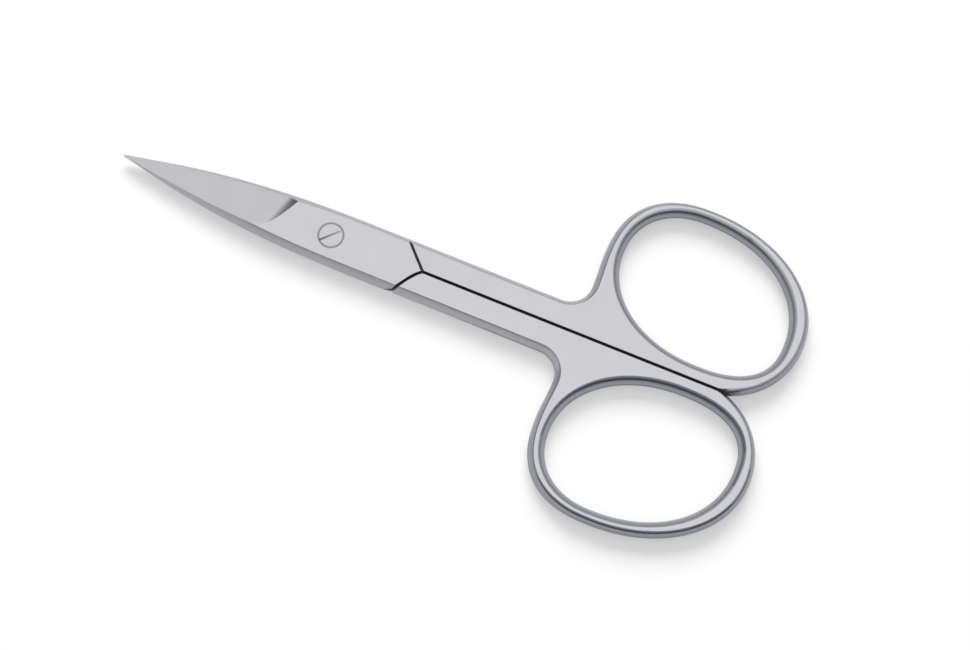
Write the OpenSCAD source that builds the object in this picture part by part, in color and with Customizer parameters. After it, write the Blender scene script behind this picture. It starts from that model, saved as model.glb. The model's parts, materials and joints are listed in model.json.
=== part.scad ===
/* [Overall] */
// Distance from the pivot to the blade tips
blade_len = 29.2; // [22:0.1:40]
// Distance from the pivot to the far end of the finger rings
handle_len = 60.8; // [54:0.1:80]
// Thickness of the shanks and rings, the two lapped layers together
steel_t = 2.6; // [2:0.1:3.6]
// How far the ground sides of blades and shanks lean in from mid thickness to each face
side_draft = 0.8; // [0.4:0.05:0.95]

/* [Blades] */
// Distance behind the pivot at which the taper to the tip begins
taper_start = 3; // [0:0.5:6]
// Bow of the blade outline: 1 is a straight wedge, more is fuller
blade_bow = 2.25; // [1.6:0.05:3]
// How far each cutting edge stands back from the spine of the other blade
edge_inset = 0.2; // [0.1:0.05:0.4]
// Distance in front of the pivot at which the grind reaches full face
grind_start = 8.6; // [7:0.1:11]
// Fall of the ground face towards the cutting edge, degrees
grind_tilt = 4.7; // [3:0.1:6]
// Fall of the ground face towards the tip, degrees
grind_toe = 3.45; // [2.5:0.05:3.8]
// Lean of the grind's start across the blade, degrees
plunge_lean = 16; // [0:1:30]
// Radius that the grinding wheel leaves where the grind starts
plunge_r = 4.2; // [1.5:0.1:6]
// Depth of the hollow in the inner face of each blade
hollow_depth = 0.1; // [0.05:0.01:0.15]

/* [Lap joint] */
// Width across both shanks and the lap at the middle of the thickness
shank_w = 7.4; // [6.5:0.1:9]
// Running clearance between the two lapped faces
lap_clear = 0.05; // [0.02:0.01:0.1]
// Distance from the pivot to the point of the chevron shoulders
chevron_x = 12.7; // [11:0.1:16]
// Rake of each shoulder and lap end, degrees from square across
chevron_rake = 38; // [20:1:50]
// How far each shoulder bows forward of its straight line
chevron_bow = 0.28; // [0:0.02:0.6]
// Gap between each shoulder and the lap end that faces it
shoulder_gap = 0.36; // [0.2:0.02:0.5]
// Width over which the edges on both sides of that gap are eased
eased_w = 0.42; // [0.36:0.02:0.6]
// How far the outer corner of the lap end is rounded away along the scissors
lap_corner = 0.8; // [0.2:0.1:1.2]
// Rake of the groove that carries the chevron on across the front of the shank, degrees
groove_rake = 44.5; // [20:0.5:55]
// Width of that groove
groove_w = 0.38; // [0.3:0.02:0.6]
// Depth of that groove
groove_depth = 0.5; // [0.15:0.05:0.6]

/* [Pivot screw] */
// Diameter of the flush screw head
head_d = 3.2; // [2.8:0.1:4]
// Thickness of the screw head
head_t = 0.6; // [0.4:0.05:0.8]
// Diameter of the screw shank
pivot_d = 2; // [1.6:0.1:2.4]
// Running clearance round the screw shank, on the radius
pivot_clear = 0.04; // [0.02:0.01:0.08]
// Clearance round the screw head in its pocket, on the radius
head_clear = 0.02; // [0.01:0.01:0.06]
// Width of the worn rim on the head, and of the one on the pocket
rim_w = 0.14; // [0.05:0.01:0.25]
// How deep each worn rim falls away
rim_drop = 0.03; // [0.02:0.01:0.1]
// Width of the driver slot
slot_w = 0.27; // [0.2:0.01:0.5]
// Depth of the driver slot at its deep end
slot_depth = 0.36; // [0.2:0.02:0.4]
// How far short of the rim the slot runs out at its shallow end
slot_fade = 0.25; // [0:0.05:0.6]
// Turn of the driver slot from the long axis, degrees
slot_turn = 46; // [0:1:180]

/* [Finger rings] */
// Length of each finger hole along the scissors
hole_len = 23.2; // [20:0.1:26]
// Width of each finger hole across the scissors
hole_w = 17.9; // [16:0.1:22]
// Distance from the front of the hole to its outermost point
hole_crest = 8.4; // [6:0.1:14]
// Distance from the front of the hole to its point nearest the centre line
hole_belly = 13.8; // [8:0.1:16]
// Height of the frontmost point over the side nearest the centre line
hole_front_rise = 10.4; // [6:0.1:13]
// Height of the rearmost point over the side nearest the centre line
hole_end_rise = 6.7; // [4:0.1:12]
// Width of the ring's bar beside the centre line
bar_inner = 2; // [1.8:0.1:3]
// Width of the ring's bar at its outermost point
bar_outer = 1.9; // [1.7:0.1:3]
// Width of the ring's bar at the neck
bar_neck = 2.2; // [1.8:0.1:3]
// Width of the ring's bar at the far end
bar_end = 2.4; // [1.8:0.1:3]
// How far the ring's outer side rounds in from mid thickness to each face
ring_round = 0.62; // [0.4:0.02:0.8]
// How far the rounding of the hole's edge runs back over each face
hole_round = 0.84; // [0.5:0.02:0.9]
// Gap between the two shanks when the blades are closed
centre_gap = 0.35; // [0.2:0.05:0.6]
// How far each ring's oval would reach past the centre line before it is trimmed
ring_overlap = 0.8; // [0.4:0.1:1.5]
// Radius of the crotch between shank and ring
crotch_r = 3; // [2:0.1:5]
// How far the neck draws in above the crotch
neck_waist = 0.25; // [0:0.05:0.5]

/* [Hidden] */
steel = [0.79, 0.79, 0.81];
screw_steel = [0.72, 0.72, 0.74];
half_t = steel_t / 2;
half_w = shank_w / 2;
reach = 100;
layer_low = lap_clear / 2;

// Fullness of the ovals' quarters: 2 is an ellipse, more is squarer
ring_front_full = 2.45;
ring_crest_full = 2.05;
ring_end_full = 2.12;
hole_front_full = 2.2;
hole_crest_full = 2.1;
hole_end_full = 2.5;
hole_belly_full = 2.05;
quarter_steps = 22;

// Heights of the loft's levels as shares of half the thickness, from the middle to a face
level_shares = [0, 0.35, 0.62, 0.82, 0.94, 0.985, 1];
level_count = len(level_shares);
levels = concat(
    [for (i = [level_count - 1:-1:1]) -level_shares[i]],
    level_shares
);
// Roundness of the sides: 1 is a flat bevel, 2 is a full ellipse
shank_bulge = 1.1;
ring_bulge = 1.4;
hole_bulge = 1.25;

// Extreme points of the finger hole
hole_x1 = handle_len - bar_end;
hole_x0 = hole_x1 - hole_len;
hole_y0 = centre_gap / 2 + bar_inner;
hole_y1 = hole_y0 + hole_w;

// How far the outer oval's extreme points lie past the hole's own, which swells the bar
crest_shift = 0.3;
belly_shift = 0.5;
front_shift = -1.2;
end_shift = 0.7;

// Extreme points of the ring's outer oval
ring_x0 = hole_x0 - bar_neck;
ring_x1 = handle_len;
ring_y0 = -ring_overlap;
ring_y1 = hole_y1 + bar_outer;
ring_crest_x = hole_x0 + hole_crest + crest_shift;
ring_belly_x = hole_x0 + hole_belly + belly_shift;
ring_front_y = hole_y0 + hole_front_rise + front_shift;
ring_end_y = hole_y0 + hole_end_rise + end_shift;

function ease(s) = (1 - cos(180 * s)) / 2;

// Bow of a shoulder at a share s of its length from the centre line: 1 at its fullest
function bow_share(s) = 256 / 27 * s * pow(max(0, 1 - s), 3);

// Where the chevron's middle line lies at a distance y from the centre line
function chevron_at(y) =
    chevron_x - tan(chevron_rake) * y - chevron_bow * bow_share(y / half_w);

// Part of an axis that a quarter oval covers at a turn from 0 to 90 degrees
function oval_axis(v, full) = pow(v, 2 / full);

// Quarter oval from the point on the x side of its centre to the point on the y side
function quarter(centre, rx, ry, full, from, to) = [
    for (i = [0:quarter_steps - 1])
        let (a = from + (to - from) * i / quarter_steps)
            [centre.x + rx * oval_axis(cos(a), full),
             centre.y + ry * oval_axis(sin(a), full)]
];

// Half width of a blade at x in front of the taper, for a shank half width w
function blade_half(x, w) =
    w * (1 - pow(max(0, (taper_start - x) / (taper_start + blade_len)), blade_bow));

blade_steps = 26;
function blade_x(i) = -blade_len + (blade_len + taper_start) * pow(i / blade_steps, 1.25);

// Cutting side of the blade, from the tip back to the lap
edge_side = [
    for (i = [0:blade_steps])
        let (
            x = blade_x(i),
            back = ease(min(1, (taper_start - x) / (taper_start + grind_start)))
        )
            [x, blade_half(x, half_w - edge_inset * back)]
];

// Spine side of the blade, from the lap to just behind the tip
spine_side = [
    for (i = [blade_steps:-1:1])
        [blade_x(i), -blade_half(blade_x(i), half_w)]
];

crotch_steps = 10;
crotch_x = ring_x0 + neck_waist - crotch_r;
crotch = [
    for (i = [0:crotch_steps])
        let (a = 90 * i / crotch_steps)
            [crotch_x + crotch_r * sin(a), half_w + crotch_r * (1 - cos(a))]
];

neck_steps = 8;
neck_y = half_w + crotch_r;
neck = [
    for (i = [1:neck_steps - 1])
        let (s = i / neck_steps)
            [ring_x0 + neck_waist * (1 - ease(s)), neck_y + (ring_front_y - neck_y) * s]
];

// Outer oval of the ring, from its front over the outermost point to past the centre line
ring_outer = concat(
    quarter([ring_crest_x, ring_front_y], ring_x0 - ring_crest_x,
            ring_y1 - ring_front_y, ring_front_full, 0, 90),
    quarter([ring_crest_x, ring_end_y], ring_x1 - ring_crest_x,
            ring_y1 - ring_end_y, ring_crest_full, 90, 0),
    quarter([ring_belly_x, ring_end_y], ring_x1 - ring_belly_x,
            ring_y0 - ring_end_y, ring_end_full, 0, 90),
    [[ring_belly_x, ring_y0]]
);

// Outline of one half at the middle of its thickness, with spare metal past the cuts
lap_reach = chevron_x + 3;
half_outline = concat(
    edge_side,
    crotch,
    neck,
    ring_outer,
    [[lap_reach + 3, ring_y0], [lap_reach, -half_w]],
    spine_side
);

hole_outline = concat(
    quarter([hole_x0 + hole_crest, hole_y0 + hole_front_rise], -hole_crest,
            hole_w - hole_front_rise, hole_front_full, 0, 90),
    quarter([hole_x0 + hole_crest, hole_y0 + hole_end_rise], hole_len - hole_crest,
            hole_w - hole_end_rise, hole_crest_full, 90, 0),
    quarter([hole_x0 + hole_belly, hole_y0 + hole_end_rise], hole_len - hole_belly,
            -hole_end_rise, hole_end_full, 0, 90),
    quarter([hole_x0 + hole_belly, hole_y0 + hole_front_rise], -hole_belly,
            -hole_front_rise, hole_belly_full, 90, 0)
);

// Share of the full inset at a level, for a side of the given roundness
function inset_share(level, full) = 1 - pow(1 - pow(abs(level), full), 1 / full);

// The lean fades where the blade gets narrower than two side leans
function room(p) = p.x < taper_start ? min(1, abs(p.y) / (2 * side_draft)) : 1;

// Inset and roundness at x of a side that changes from the neck to the crest of the ring
function side_at(x, shank_side, ring_side) =
    shank_side + (ring_side - shank_side)
        * ease(min(1, max(0, (x - ring_x0) / (ring_crest_x - ring_x0))));

// Direction that points into a clockwise outline at one of its points
function inward(outline, i) =
    let (
        n = len(outline),
        along = outline[(i + 1) % n] - outline[(i + n - 1) % n]
    )
        [along.y, -along.x] / norm(along);

function inset_outline(outline, shank_side, ring_side, level) = [
    for (i = [0:len(outline) - 1])
        let (
            side = side_at(outline[i].x, shank_side, ring_side),
            inset = side[0] * inset_share(level, side[1]) * room(outline[i])
        )
            outline[i] + inset * inward(outline, i)
];

// Solid one unit high each way from the middle, whose outline draws in, or opens out,
// towards both faces; each side is its inset at the faces and its roundness,
// and past is a straight length beyond each face
module loft(outline, shank_side, ring_side, past = 0) {
    n = len(outline);
    heights = concat(
        past > 0 ? [[-1, -1 - past]] : [],
        [for (level = levels) [level, level]],
        past > 0 ? [[1, 1 + past]] : []
    );
    rows = len(heights);
    points = [
        for (h = heights)
            each [
                for (p = inset_outline(outline, shank_side, ring_side, h[0]))
                    [p.x, p.y, h[1]]
            ]
    ];
    sides = [
        for (row = [0:rows - 2], i = [0:n - 1])
            let (
                a = row * n + i,
                b = row * n + (i + 1) % n
            )
                each [[a, b, a + n], [b, b + n, a + n]]
    ];
    floor_face = [for (i = [n - 1:-1:0]) i];
    top_face = [for (i = [0:n - 1]) (rows - 1) * n + i];
    polyhedron(points, concat([floor_face], sides, [top_face]));
}

// The forging before it is cut: drafted outside, rounded in the finger hole
module blank() {
    hole_side = [-hole_round, hole_bulge];
    resize([0, 0, steel_t])
        difference() {
            loft(half_outline, [side_draft, shank_bulge], [ring_round, ring_bulge]);
            loft(hole_outline, hole_side, hole_side, 1);
        }
}

inner_y = centre_gap / 2;
shoulder_shift = shoulder_gap / 2 / cos(chevron_rake);
cut_y = 1.2 * half_w;
cut_steps = 12;

// Distances from the centre line at which the shoulder and the lap end are drawn
cut_rows = [for (i = [0:cut_steps]) cut_y * i / cut_steps];

// How far the lap end is rounded away at a distance y from the centre line
corner_start = half_w - lap_corner / 2;
function corner_cut(y) =
    lap_corner * pow(max(0, y - corner_start) / (half_w - corner_start), 2);

// Metal that belongs to the other half: behind this half's lap end, past the centre line
module other_side() {
    translate([0, 0, -reach / 2])
        linear_extrude(reach)
            polygon(concat(
                [[chevron_x - shoulder_shift, inner_y], [reach, inner_y], [reach, -cut_y]],
                [for (i = [cut_steps:-1:0])
                    [chevron_at(cut_rows[i]) - shoulder_shift - corner_cut(cut_rows[i]),
                     -cut_rows[i]]]
            ));
}

// Lower layer in front of this half's shoulder, where the other half's lap lies
module other_layer() {
    shoulder_rows = [for (y = cut_rows) max(y, inner_y)];
    translate([0, 0, layer_low - reach])
        linear_extrude(reach)
            polygon(concat(
                [[-reach, -cut_y], [chevron_at(inner_y) + shoulder_shift, -cut_y]],
                [for (y = shoulder_rows) [chevron_at(y) + shoulder_shift, y]],
                [[-reach, cut_y]]
            ));
}

// Point on the outer face, towards the spine, at which the grind's depth starts from nothing
grind_y = -0.5 * half_w;

// Space that the grinding wheel takes: a tilted flat that runs out in the wheel's radius
module grind() {
    translate([-grind_start, grind_y, half_t])
        rotate([0, 0, -plunge_lean])
            rotate([-grind_tilt, -grind_toe, 0])
                rotate([90, 0, 0])
                    linear_extrude(reach, center = true) {
                        translate([-reach, 0])
                            square([reach, half_t * 2]);
                        translate([0, plunge_r])
                            circle(plunge_r, $fn = 64);
                    }
}

hollow_start = 6;
hollow_width = 5;
hollow_end = blade_len - 3;
hollow_r = pow(hollow_width, 2) / (8 * hollow_depth);

// Shallow hollow in the inner face, from the lap's ride to nothing near the tip
module hollow() {
    translate([-hollow_start, 0, layer_low])
        rotate([0, -atan(hollow_depth / (hollow_end - hollow_start)), 0])
            translate([0, 0, hollow_depth - hollow_r])
                rotate([0, -90, 0])
                    cylinder(h = blade_len, r = hollow_r, $fn = 128);
}

// Bar with a diamond section of the given width and depth, from one point to another
module groove_bar(from, to, width, depth) {
    along = to - from;
    translate(from)
        rotate([90, 0, 90 + atan2(along.y, along.x)])
            linear_extrude(norm(along))
                polygon([[-width / 2, 0], [0, -depth], [width / 2, 0], [0, depth]]);
}

// Eased edges along the shoulder, the lap end and the centre line
module eased_edges() {
    bends = [0, 0.12, 0.4, 0.8, 1.2] * half_w;
    for (side = [-1, 1], i = [0:len(bends) - 2])
        groove_bar([chevron_at(bends[i]), side * bends[i], -side * half_t],
                   [chevron_at(bends[i + 1]), side * bends[i + 1], -side * half_t],
                   eased_w, eased_w / 2);
    for (face = [-1, 1])
        groove_bar([chevron_x, 0, face * half_t], [handle_len, 0, face * half_t],
                   eased_w, eased_w / 2);
}

// Groove that carries the line of the lap end on across this half's own shank
module shank_groove() {
    groove_bar([chevron_x, 0, half_t],
               [chevron_x - tan(groove_rake) * cut_y, cut_y, half_t],
               groove_w, groove_depth);
}

// One forging, before its pivot hole: the pair is two of these, face to face
module half_blank() {
    difference() {
        blank();
        other_side();
        other_layer();
        grind();
        hollow();
        eased_edges();
        shank_groove();
    }
}

head_pocket_d = head_d + 2 * head_clear;
head_floor = half_t - head_t - pivot_clear;
slot_tilt = atan(slot_depth / (head_d - slot_fade));

// Moves the pair from the pivot and the middle plane to the part's own origin
module placed() {
    translate([(blade_len - handle_len) / 2, 0, half_t])
        children();
}

module front_half() {
    color(steel)
        placed()
            difference() {
                half_blank();
                translate([0, 0, -steel_t])
                    cylinder(h = 2 * steel_t, d = pivot_d + 2 * pivot_clear, $fn = 64);
                translate([0, 0, head_floor])
                    cylinder(h = steel_t, d = head_pocket_d, $fn = 64);
                translate([0, 0, half_t - rim_drop])
                    cylinder(h = 2 * rim_drop, d1 = head_pocket_d,
                             d2 = head_pocket_d + 4 * rim_w, $fn = 64);
            }
}

module back_half() {
    color(steel)
        placed()
            difference() {
                rotate([180, 0, 0])
                    half_blank();
                translate([0, 0, -steel_t])
                    cylinder(h = 2 * steel_t, d = pivot_d, $fn = 64);
            }
}

module pivot_screw() {
    color(screw_steel)
        placed()
            difference() {
                rotate_extrude($fn = 64)
                    polygon([
                        [0, -half_t],
                        [pivot_d / 2 - rim_w, -half_t],
                        [pivot_d / 2, -half_t + rim_drop],
                        [pivot_d / 2, half_t - head_t],
                        [head_d / 2, half_t - head_t],
                        [head_d / 2, half_t - rim_drop],
                        [head_d / 2 - rim_w, half_t],
                        [0, half_t]
                    ]);
                rotate([0, 0, slot_turn])
                    translate([head_d / 2 - slot_fade, 0, half_t])
                        rotate([0, -slot_tilt, 0])
                            translate([-2 * head_d, -slot_w / 2, 0])
                                cube([3 * head_d, slot_w, head_d]);
            }
}

back_half();
front_half();
pivot_screw();
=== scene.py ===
import json
import bpy
from math import acos, cos, radians, sin
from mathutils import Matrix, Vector
from mathutils.kdtree import KDTree


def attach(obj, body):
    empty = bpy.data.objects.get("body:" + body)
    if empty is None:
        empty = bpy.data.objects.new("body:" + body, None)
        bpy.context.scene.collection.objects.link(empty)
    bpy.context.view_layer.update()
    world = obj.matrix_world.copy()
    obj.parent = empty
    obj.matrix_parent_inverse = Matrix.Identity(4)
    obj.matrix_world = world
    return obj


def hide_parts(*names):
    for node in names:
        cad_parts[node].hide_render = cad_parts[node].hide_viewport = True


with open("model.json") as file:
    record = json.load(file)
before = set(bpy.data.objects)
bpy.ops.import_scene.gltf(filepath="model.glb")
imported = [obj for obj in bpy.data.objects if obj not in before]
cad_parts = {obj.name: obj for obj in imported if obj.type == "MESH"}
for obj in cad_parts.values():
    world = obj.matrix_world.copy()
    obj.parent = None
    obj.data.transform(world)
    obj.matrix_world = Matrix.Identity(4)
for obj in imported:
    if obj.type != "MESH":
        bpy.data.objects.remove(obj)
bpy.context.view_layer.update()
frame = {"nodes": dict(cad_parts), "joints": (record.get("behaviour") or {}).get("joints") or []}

# The table
# A plain white sweep that the scissors lie on. It shows as white to the eye and in the steel,
# and keeps the soft shadow that falls towards the viewer.
table_size = 6
table_colour = (0.4, 0.4, 0.397, 1)
table_glow = 0.43

bpy.ops.object.select_all(action="DESELECT")
bpy.ops.mesh.primitive_plane_add(size=table_size, location=(0, 0, 0))
table = bpy.context.object
table.name = "table"


def larger_of(tree, one, other):
    larger = tree.nodes.new("ShaderNodeMath")
    larger.operation = "MAXIMUM"
    tree.links.new(one, larger.inputs[0])
    tree.links.new(other, larger.inputs[1])
    return larger.outputs["Value"]


table_paint = bpy.data.materials.new("table_paint")
table_paint.use_nodes = True
tree = table_paint.node_tree
tree.nodes.clear()
rays = tree.nodes.new("ShaderNodeLightPath")
seen = larger_of(tree, rays.outputs["Is Camera Ray"], rays.outputs["Is Glossy Ray"])
seen = larger_of(tree, seen, rays.outputs["Is Transmission Ray"])
glow_level = tree.nodes.new("ShaderNodeMath")
glow_level.operation = "MULTIPLY"
glow_level.inputs[1].default_value = table_glow
tree.links.new(seen, glow_level.inputs[0])
glow = tree.nodes.new("ShaderNodeEmission")
tree.links.new(glow_level.outputs["Value"], glow.inputs["Strength"])
matt = tree.nodes.new("ShaderNodeBsdfDiffuse")
matt.inputs["Color"].default_value = table_colour
both = tree.nodes.new("ShaderNodeAddShader")
tree.links.new(matt.outputs["BSDF"], both.inputs[0])
tree.links.new(glow.outputs["Emission"], both.inputs[1])
surface = tree.nodes.new("ShaderNodeOutputMaterial")
tree.links.new(both.outputs["Shader"], surface.inputs["Surface"])
table.data.materials.append(table_paint)

# The light
# A soft light overhead and a white wall behind the table, in a room that is dim all round and
# darkest in front. A broad lamp behind the scissors lights the table and throws their shadow.
view_turn = radians(22.78)
to_the_back = (-sin(view_turn), cos(view_turn), 0)
light_colour = (0.985, 0.985, 1, 1)

# Levels of the room, and where each fades in: 1 is straight up or back, and -1 straight away
room_dark = 0.12
room_dim = 0.45
room_fade = (-0.85, -0.1)
overhead_bright = 1
overhead_fade = (0.5, 0.985)
wall_bright = 0.8
wall_fade = (0.75, 1)
lamp_place = (-0.38, 0.9, 0.78)
lamp_width = 1.0
lamp_height = 0.6
lamp_power = 24


def faded(tree, value, ends, low, high):
    fade = tree.nodes.new("ShaderNodeMapRange")
    fade.interpolation_type = "SMOOTHSTEP"
    fade.inputs["From Min"].default_value, fade.inputs["From Max"].default_value = ends
    fade.inputs["To Min"].default_value = low
    fade.inputs["To Max"].default_value = high
    tree.links.new(value, fade.inputs["Value"])
    return fade


world = bpy.data.worlds.new("studio")
bpy.context.scene.world = world
world.use_nodes = True
tree = world.node_tree
tree.nodes.clear()
direction = tree.nodes.new("ShaderNodeTexCoord")
split = tree.nodes.new("ShaderNodeSeparateXYZ")
tree.links.new(direction.outputs["Generated"], split.inputs["Vector"])
backward = tree.nodes.new("ShaderNodeVectorMath")
backward.operation = "DOT_PRODUCT"
backward.inputs[1].default_value = to_the_back
tree.links.new(direction.outputs["Generated"], backward.inputs[0])
room = faded(tree, backward.outputs["Value"], room_fade, room_dark, room_dim)
overhead = faded(tree, split.outputs["Z"], overhead_fade, room_dim, overhead_bright)
tree.links.new(room.outputs["Result"], overhead.inputs["To Min"])
back_wall = faded(tree, backward.outputs["Value"], wall_fade, 0, wall_bright)
studio = tree.nodes.new("ShaderNodeBackground")
studio.inputs["Color"].default_value = light_colour
brightest = larger_of(tree, overhead.outputs["Result"], back_wall.outputs["Result"])
tree.links.new(brightest, studio.inputs["Strength"])
sky = tree.nodes.new("ShaderNodeOutputWorld")
tree.links.new(studio.outputs["Background"], sky.inputs["Surface"])

bpy.ops.object.light_add(type="AREA", location=lamp_place)
lamp = bpy.context.object
lamp.name = "back_lamp"
lamp.data.shape = "RECTANGLE"
lamp.data.size = lamp_width
lamp.data.size_y = lamp_height
lamp.data.energy = lamp_power
lamp.rotation_euler = (-lamp.location).to_track_quat("-Z", "Y").to_euler()
lamp.visible_glossy = False

# The camera
# It stands where the photograph was taken from: high over the near side, turned a little
# towards the rings.
view_height = radians(74.4)
view_distance = 0.3218
view_roll = radians(-0.22)
view_point = Vector((0.00673, -0.00310, 0.0013))
towards_viewer = Vector((
    sin(view_turn) * cos(view_height),
    -cos(view_turn) * cos(view_height),
    sin(view_height),
))
bpy.ops.object.camera_add(location=view_point + view_distance * towards_viewer)
camera = bpy.context.object
camera.name = "camera"
camera.rotation_euler = (-towards_viewer).to_track_quat("-Z", "Y").to_euler()
camera.rotation_euler.rotate_axis("Z", view_roll)
camera.data.sensor_width = 36
camera.data.lens = 94.4
camera.data.clip_start = 0.01
camera.data.clip_end = 10
bpy.context.scene.camera = camera
bpy.context.scene.view_settings.view_transform = "Standard"

# The two forgings
# Each half is forged from one bar of stainless steel. Its faces are brushed along the scissors,
# its sides are rougher and painted darker, as painted shade, the blade is ground across and its
# grind starts in a wheel-cut scoop that is painted darker towards its deep end, as painted shade.
# The upright flanks of the narrow gaps are painted near-black, as painted shade in the gaps.
pivot_x, pivot_y, half_steel = frame["joints"][0]["pos_m"]
weld_reach = 0.000001
flat_within = radians(0.05)
crease_tilt = radians(21)


def welded_copy(name, node):
    bpy.ops.object.select_all(action="DESELECT")
    piece = node.copy()
    piece.data = node.data.copy()
    bpy.context.collection.objects.link(piece)
    piece.name = name
    piece.parent = None
    bpy.context.view_layer.objects.active = piece
    piece.select_set(True)
    bpy.ops.mesh.customdata_custom_splitnormals_clear()
    bpy.ops.object.mode_set(mode="EDIT")
    bpy.ops.mesh.select_all(action="SELECT")
    bpy.ops.mesh.remove_doubles(threshold=weld_reach)
    bpy.ops.object.mode_set(mode="OBJECT")
    return piece


def join_flat_faces():
    bpy.ops.object.mode_set(mode="EDIT")
    bpy.ops.mesh.select_all(action="SELECT")
    bpy.ops.mesh.remove_doubles(threshold=weld_reach)
    bpy.ops.mesh.dissolve_limited(angle_limit=flat_within)
    bpy.ops.mesh.select_all(action="DESELECT")
    bpy.ops.object.mode_set(mode="OBJECT")
    bpy.ops.object.shade_smooth_by_angle(angle=crease_tilt)


def keep_faces_flat(piece):
    weight = piece.modifiers.new("flat_faces", "WEIGHTED_NORMAL")
    weight.keep_sharp = True
    bpy.ops.object.modifier_apply(modifier="flat_faces")
    piece.data.materials.clear()


# A ring's rounded edge is made of rows of points, known by their share of half the thickness.
# The two rows next to the flat are drawn into its edge. The flat is then narrowed, away from
# the row that is kept, except along the centre line.
rows_drawn_in = (0.94, 0.985)
row_kept = 0.82
same_row = 0.002
same_flat = 0.00008
row_reach = 0.0003
kept_reach = 0.0005
flat_narrowed = 0.35
centre_line = 0.0005
ring_start = 0.0175
ring_ease = 0.006


def row_of(vertex, side):
    return side * (vertex.co.z - half_steel) / half_steel


def nearest_in(vertices):
    places = KDTree(len(vertices))
    for i, vertex in enumerate(vertices):
        places.insert(vertex.co, i)
    places.balance()
    return places


def draw_ring_edges(mesh):
    for side in (-1, 1):
        flat = nearest_in([v for v in mesh.vertices if abs(row_of(v, side) - 1) < same_flat])
        for vertex in mesh.vertices:
            row = row_of(vertex, side)
            if vertex.co.x > 0 and min(abs(row - drawn) for drawn in rows_drawn_in) < same_row:
                place, index, distance = flat.find(vertex.co)
                if distance < row_reach:
                    vertex.co = place
        kept = nearest_in([v for v in mesh.vertices if abs(row_of(v, side) - row_kept) < same_row])
        for vertex in mesh.vertices:
            x, y, z = vertex.co
            on_flat = abs(row_of(vertex, side) - 1) < same_flat
            if on_flat and x > ring_start and abs(y) > centre_line:
                place, index, distance = kept.find(vertex.co)
                if distance < kept_reach:
                    share = min(1, (x - ring_start) / ring_ease)
                    step = vertex.co - place
                    step.z = 0
                    vertex.co += flat_narrowed * share * step


def soften_ring_edges(mesh):
    for edge in mesh.edges:
        a, b = (mesh.vertices[i].co for i in edge.vertices)
        if min(a.x, b.x) > 0 and min(abs(a.y), abs(b.y)) > centre_line:
            edge.use_edge_sharp = False


# Fine strokes of the brush or wheel vary the roughness and relief, and soft clouds the tone
tone_spread = 0.04
roughness_spread = 0.02
cloud_scale = 260
stroke_height = 0.00002


def brushed_steel(name, tone, roughness, grain, relief):
    paint = bpy.data.materials.new(name)
    paint.use_nodes = True
    nodes, links = paint.node_tree.nodes, paint.node_tree.links
    steel = nodes["Principled BSDF"]
    steel.inputs["Metallic"].default_value = 1
    place = nodes.new("ShaderNodeTexCoord")
    stretch = nodes.new("ShaderNodeMapping")
    stretch.inputs["Scale"].default_value = grain
    links.new(place.outputs["Object"], stretch.inputs["Vector"])
    strokes = nodes.new("ShaderNodeTexNoise")
    strokes.inputs["Scale"].default_value = 1
    strokes.inputs["Detail"].default_value = 3
    strokes.inputs["Roughness"].default_value = 0.6
    links.new(stretch.outputs["Vector"], strokes.inputs["Vector"])
    cloud = nodes.new("ShaderNodeTexNoise")
    cloud.inputs["Scale"].default_value = cloud_scale
    cloud.inputs["Detail"].default_value = 3
    links.new(place.outputs["Object"], cloud.inputs["Vector"])
    shade = nodes.new("ShaderNodeMixRGB")
    shade.inputs["Color1"].default_value = (*[(1 - tone_spread) * c for c in tone], 1)
    shade.inputs["Color2"].default_value = (*[(1 + tone_spread) * c for c in tone], 1)
    links.new(cloud.outputs["Fac"], shade.inputs["Fac"])
    links.new(shade.outputs["Color"], steel.inputs["Base Color"])
    spread = nodes.new("ShaderNodeMapRange")
    spread.inputs["To Min"].default_value = roughness - roughness_spread
    spread.inputs["To Max"].default_value = roughness + roughness_spread
    links.new(strokes.outputs["Fac"], spread.inputs["Value"])
    links.new(spread.outputs["Result"], steel.inputs["Roughness"])
    bump = nodes.new("ShaderNodeBump")
    bump.inputs["Strength"].default_value = relief
    bump.inputs["Distance"].default_value = stroke_height
    links.new(strokes.outputs["Fac"], bump.inputs["Height"])
    links.new(bump.outputs["Normal"], steel.inputs["Normal"])
    return paint


# Mixes a darker colour into a paint by a share held on the mesh, as painted shade
def paint_shade_by(paint, attribute, shade_colour):
    nodes, links = paint.node_tree.nodes, paint.node_tree.links
    tone_in = nodes["Principled BSDF"].inputs["Base Color"]
    share = nodes.new("ShaderNodeAttribute")
    share.attribute_name = attribute
    shade_mix = nodes.new("ShaderNodeMixRGB")
    shade_mix.inputs["Color2"].default_value = (*shade_colour, 1)
    links.new(share.outputs["Fac"], shade_mix.inputs["Fac"])
    links.new(tone_in.links[0].from_socket, shade_mix.inputs["Color1"])
    links.new(shade_mix.outputs["Color"], tone_in)


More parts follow.
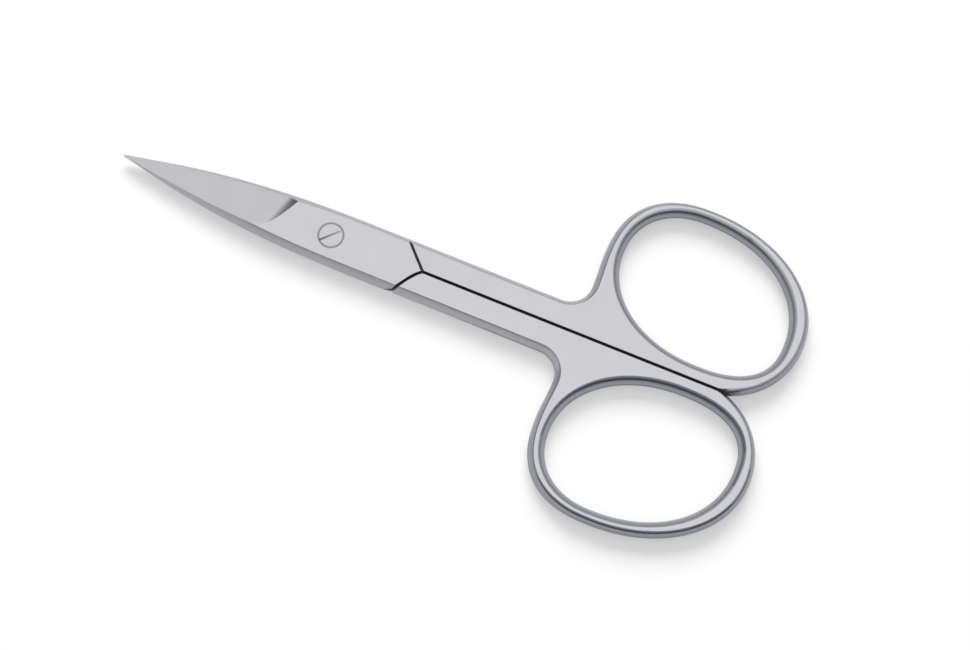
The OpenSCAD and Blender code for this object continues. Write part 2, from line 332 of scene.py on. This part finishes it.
face_tone = (0.655, 0.652, 0.68)
ground_tone = (0.622, 0.62, 0.648)
# The sides are rougher than the faces; their darker tone is painted shade, for the dim reflection
# they catch
side_shade_tone = (0.44, 0.45, 0.475)
# The worn rim round the screw's pocket is painted darker, as painted shade of the groove round the
# head
rim_shade_tone = (0.4, 0.4, 0.42)
# The ring flanks are polished; their dark tone is painted shade, for the dim floor and room they
# reflect
rolled_shade_tone = (0.29, 0.31, 0.34)
# Near-black for the near ring's edges that look to the near side: a painted dark line, a painted
# reflection of the dim room in front
edge_shade_tone = (0.2, 0.208, 0.225)
# The wheel-cut scoop is painted darker towards its deep end: painted shade for the dim room it
# reflects
scoop_shade_tone = (0.2, 0.205, 0.22)
# Near-black for the upright flanks in the narrow gaps and at the lap's shoulders: painted shade in
# the gaps
gap_shade_tone = (0.15, 0.152, 0.16)
along = (250, 9000, 9000)
across = (6000, 300, 6000)
coarse = (2500, 2500, 2500)
medium = (3000, 3000, 3000)
fine = (4000, 4000, 4000)
paints = (
    brushed_steel("face_steel", face_tone, roughness=0.28, grain=along, relief=0.015),
    brushed_steel("side_steel_painted_shade", side_shade_tone, roughness=0.42, grain=coarse, relief=0.06),
    brushed_steel("rolled_steel_painted_shade", rolled_shade_tone, roughness=0.3, grain=medium, relief=0.02),
    brushed_steel("ground_steel", ground_tone, roughness=0.26, grain=across, relief=0.04),
    brushed_steel("gap_painted_shade", gap_shade_tone, roughness=0.6, grain=medium, relief=0.1),
    brushed_steel("edge_steel_painted_shade", edge_shade_tone, roughness=0.3, grain=medium, relief=0.02),
    brushed_steel("rim_steel_painted_shade", rim_shade_tone, roughness=0.35, grain=fine, relief=0.03),
    brushed_steel("scoop_steel_painted_shade", ground_tone, roughness=0.3, grain=across, relief=0.04),
)
FACE, SIDE_SHADE, ROLLED_SHADE, GROUND, GAP_SHADE, EDGE_SHADE, RIM_SHADE, SCOOP_SHADE = range(len(paints))
paint_shade_by(paints[SCOOP_SHADE], "scoop_painted_shade", scoop_shade_tone)

# Where the finishes and the painted shade lie: the grind and its scoop in front of the pivot, the
# lap's shoulders behind it, the worn rim round the screw's pocket, and the centre gap between the
# shanks
on_flat_within = 0.000002
grind_back = pivot_x - 0.006
scoop_front = pivot_x - 0.0088
scoop_back = pivot_x - 0.0055
scoop_turn = -0.03
scoop_spread = 0.4
scoop_corner = Vector((pivot_x - 0.0086, -0.00185))
scoop_across = Vector((0.96, -0.281))
scoop_from = 0.00015
scoop_to = 0.0009
lap_front = pivot_x + 0.008
lap_back = pivot_x + 0.014
shank_half = 0.0037
gap_half = 0.00022
rim_reach = 0.00178
rim_tilt_least = radians(6)
rim_tilt_most = radians(25)
side_tilt = radians(21)
edge_tilt = radians(46)
scoop_tilt = radians(53)
upright_tilt = radians(84)
far_side = 0.1
near_side = -0.2


def tilt_of(face):
    return acos(min(1, abs(face.normal.z)))


# The rings' flanks are polished, and their dark tone is painted shade. Their rounded edges are
# painted by the way they face: on the far ring, and where they look to the far side, they take the
# duller side tone, painted shade too; on the near ring, edges that look to the near side take a
# painted dark line, a painted reflection of the dim room in front; the rest take the flank tone.
def ring_finish_and_shade(y, normal, tilt):
    if tilt > edge_tilt:
        return ROLLED_SHADE
    if y > 0 or normal.y > far_side:
        return SIDE_SHADE
    return EDGE_SHADE if normal.y < near_side else ROLLED_SHADE


def finish_and_shade_of(face):
    x, y, z = face.center
    normal = face.normal
    tilt = tilt_of(face)
    from_pivot = Vector((x - pivot_x, y - pivot_y)).length
    # The worn rim round the screw's pocket takes the darker rim tone, painted shade of the groove
    if from_pivot < rim_reach and rim_tilt_least < tilt < rim_tilt_most:
        return RIM_SHADE
    looks_to_tip = normal.x < scoop_turn and abs(normal.y) < scoop_spread
    # The scoop's faces take the scoop paint, painted darker towards its deep end as painted shade
    if scoop_front < x < scoop_back and looks_to_tip and tilt < scoop_tilt:
        return SCOOP_SHADE
    in_gap = abs(y) < gap_half and x > lap_front
    on_shoulder = abs(y) < shank_half and lap_front < x < lap_back
    # Upright flanks in the gaps and at the lap's shoulders are painted near-black, as painted
    # shade
    if tilt > upright_tilt and (in_gap or on_shoulder):
        return GAP_SHADE
    # Sloping sides take the darker side tone, painted shade; on the rings the tone is chosen by
    # facing
    if tilt > side_tilt:
        return ring_finish_and_shade(y, normal, tilt) if x > ring_start else SIDE_SHADE
    on_flat = min(z, 2 * half_steel - z) < on_flat_within
    return GROUND if x < grind_back and not on_flat else FACE


# The painted shade in the scoop grows towards its deep end, from 0 at its front corner to 1
def scoop_shade_share(x, y):
    depth = (Vector((x, y)) - scoop_corner).dot(scoop_across)
    return min(1, max(0, (depth - scoop_from) / (scoop_to - scoop_from)))


for name, node, body, flip in (
    ("front_forging", "front_half", "front", 1),
    ("back_forging", "back_half", "back", -1),
):
    half = welded_copy(name, frame["nodes"][node])
    mesh = half.data
    draw_ring_edges(mesh)
    join_flat_faces()
    soften_ring_edges(mesh)
    keep_faces_flat(half)
    for paint in paints:
        mesh.materials.append(paint)
    scoop_shades = mesh.attributes.new("scoop_painted_shade", "FLOAT", "CORNER").data
    for face in mesh.polygons:
        face.material_index = finish_and_shade_of(face)
        # Scoop faces hold their share of painted shade on each corner
        if face.material_index == SCOOP_SHADE:
            for corner in face.loop_indices:
                x, y, z = mesh.vertices[mesh.loops[corner].vertex_index].co
                scoop_shades[corner].value = scoop_shade_share(x, flip * y)
    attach(half, body)
    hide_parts(node)

# The pivot screw
# A flush slotted screw, turned from stainless bar and ground level with the front face. It is
# held in the back half, and the front half turns on it.
flat_tilt = radians(0.8)
rim_low = 2 * half_steel - 0.00003
turned_steel = brushed_steel("turned_steel", face_tone, roughness=0.3, grain=fine, relief=0.04)
screw = welded_copy("slotted_screw", frame["nodes"]["pivot_screw"])
join_flat_faces()
keep_faces_flat(screw)
# On the screw, the worn rim takes the rim tone, painted shade of the groove, and the other sloping
# faces take the darker side tone, also painted shade
for paint in (turned_steel, paints[RIM_SHADE], paints[SIDE_SHADE]):
    screw.data.materials.append(paint)
TURNED, WORN_SHADE, DULL_SHADE = range(3)
for face in screw.data.polygons:
    tilt = tilt_of(face)
    on_rim = rim_tilt_least < tilt < rim_tilt_most and face.center.z > rim_low
    face.material_index = TURNED if tilt < flat_tilt else WORN_SHADE if on_rim else DULL_SHADE
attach(screw, "back")
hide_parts("pivot_screw")
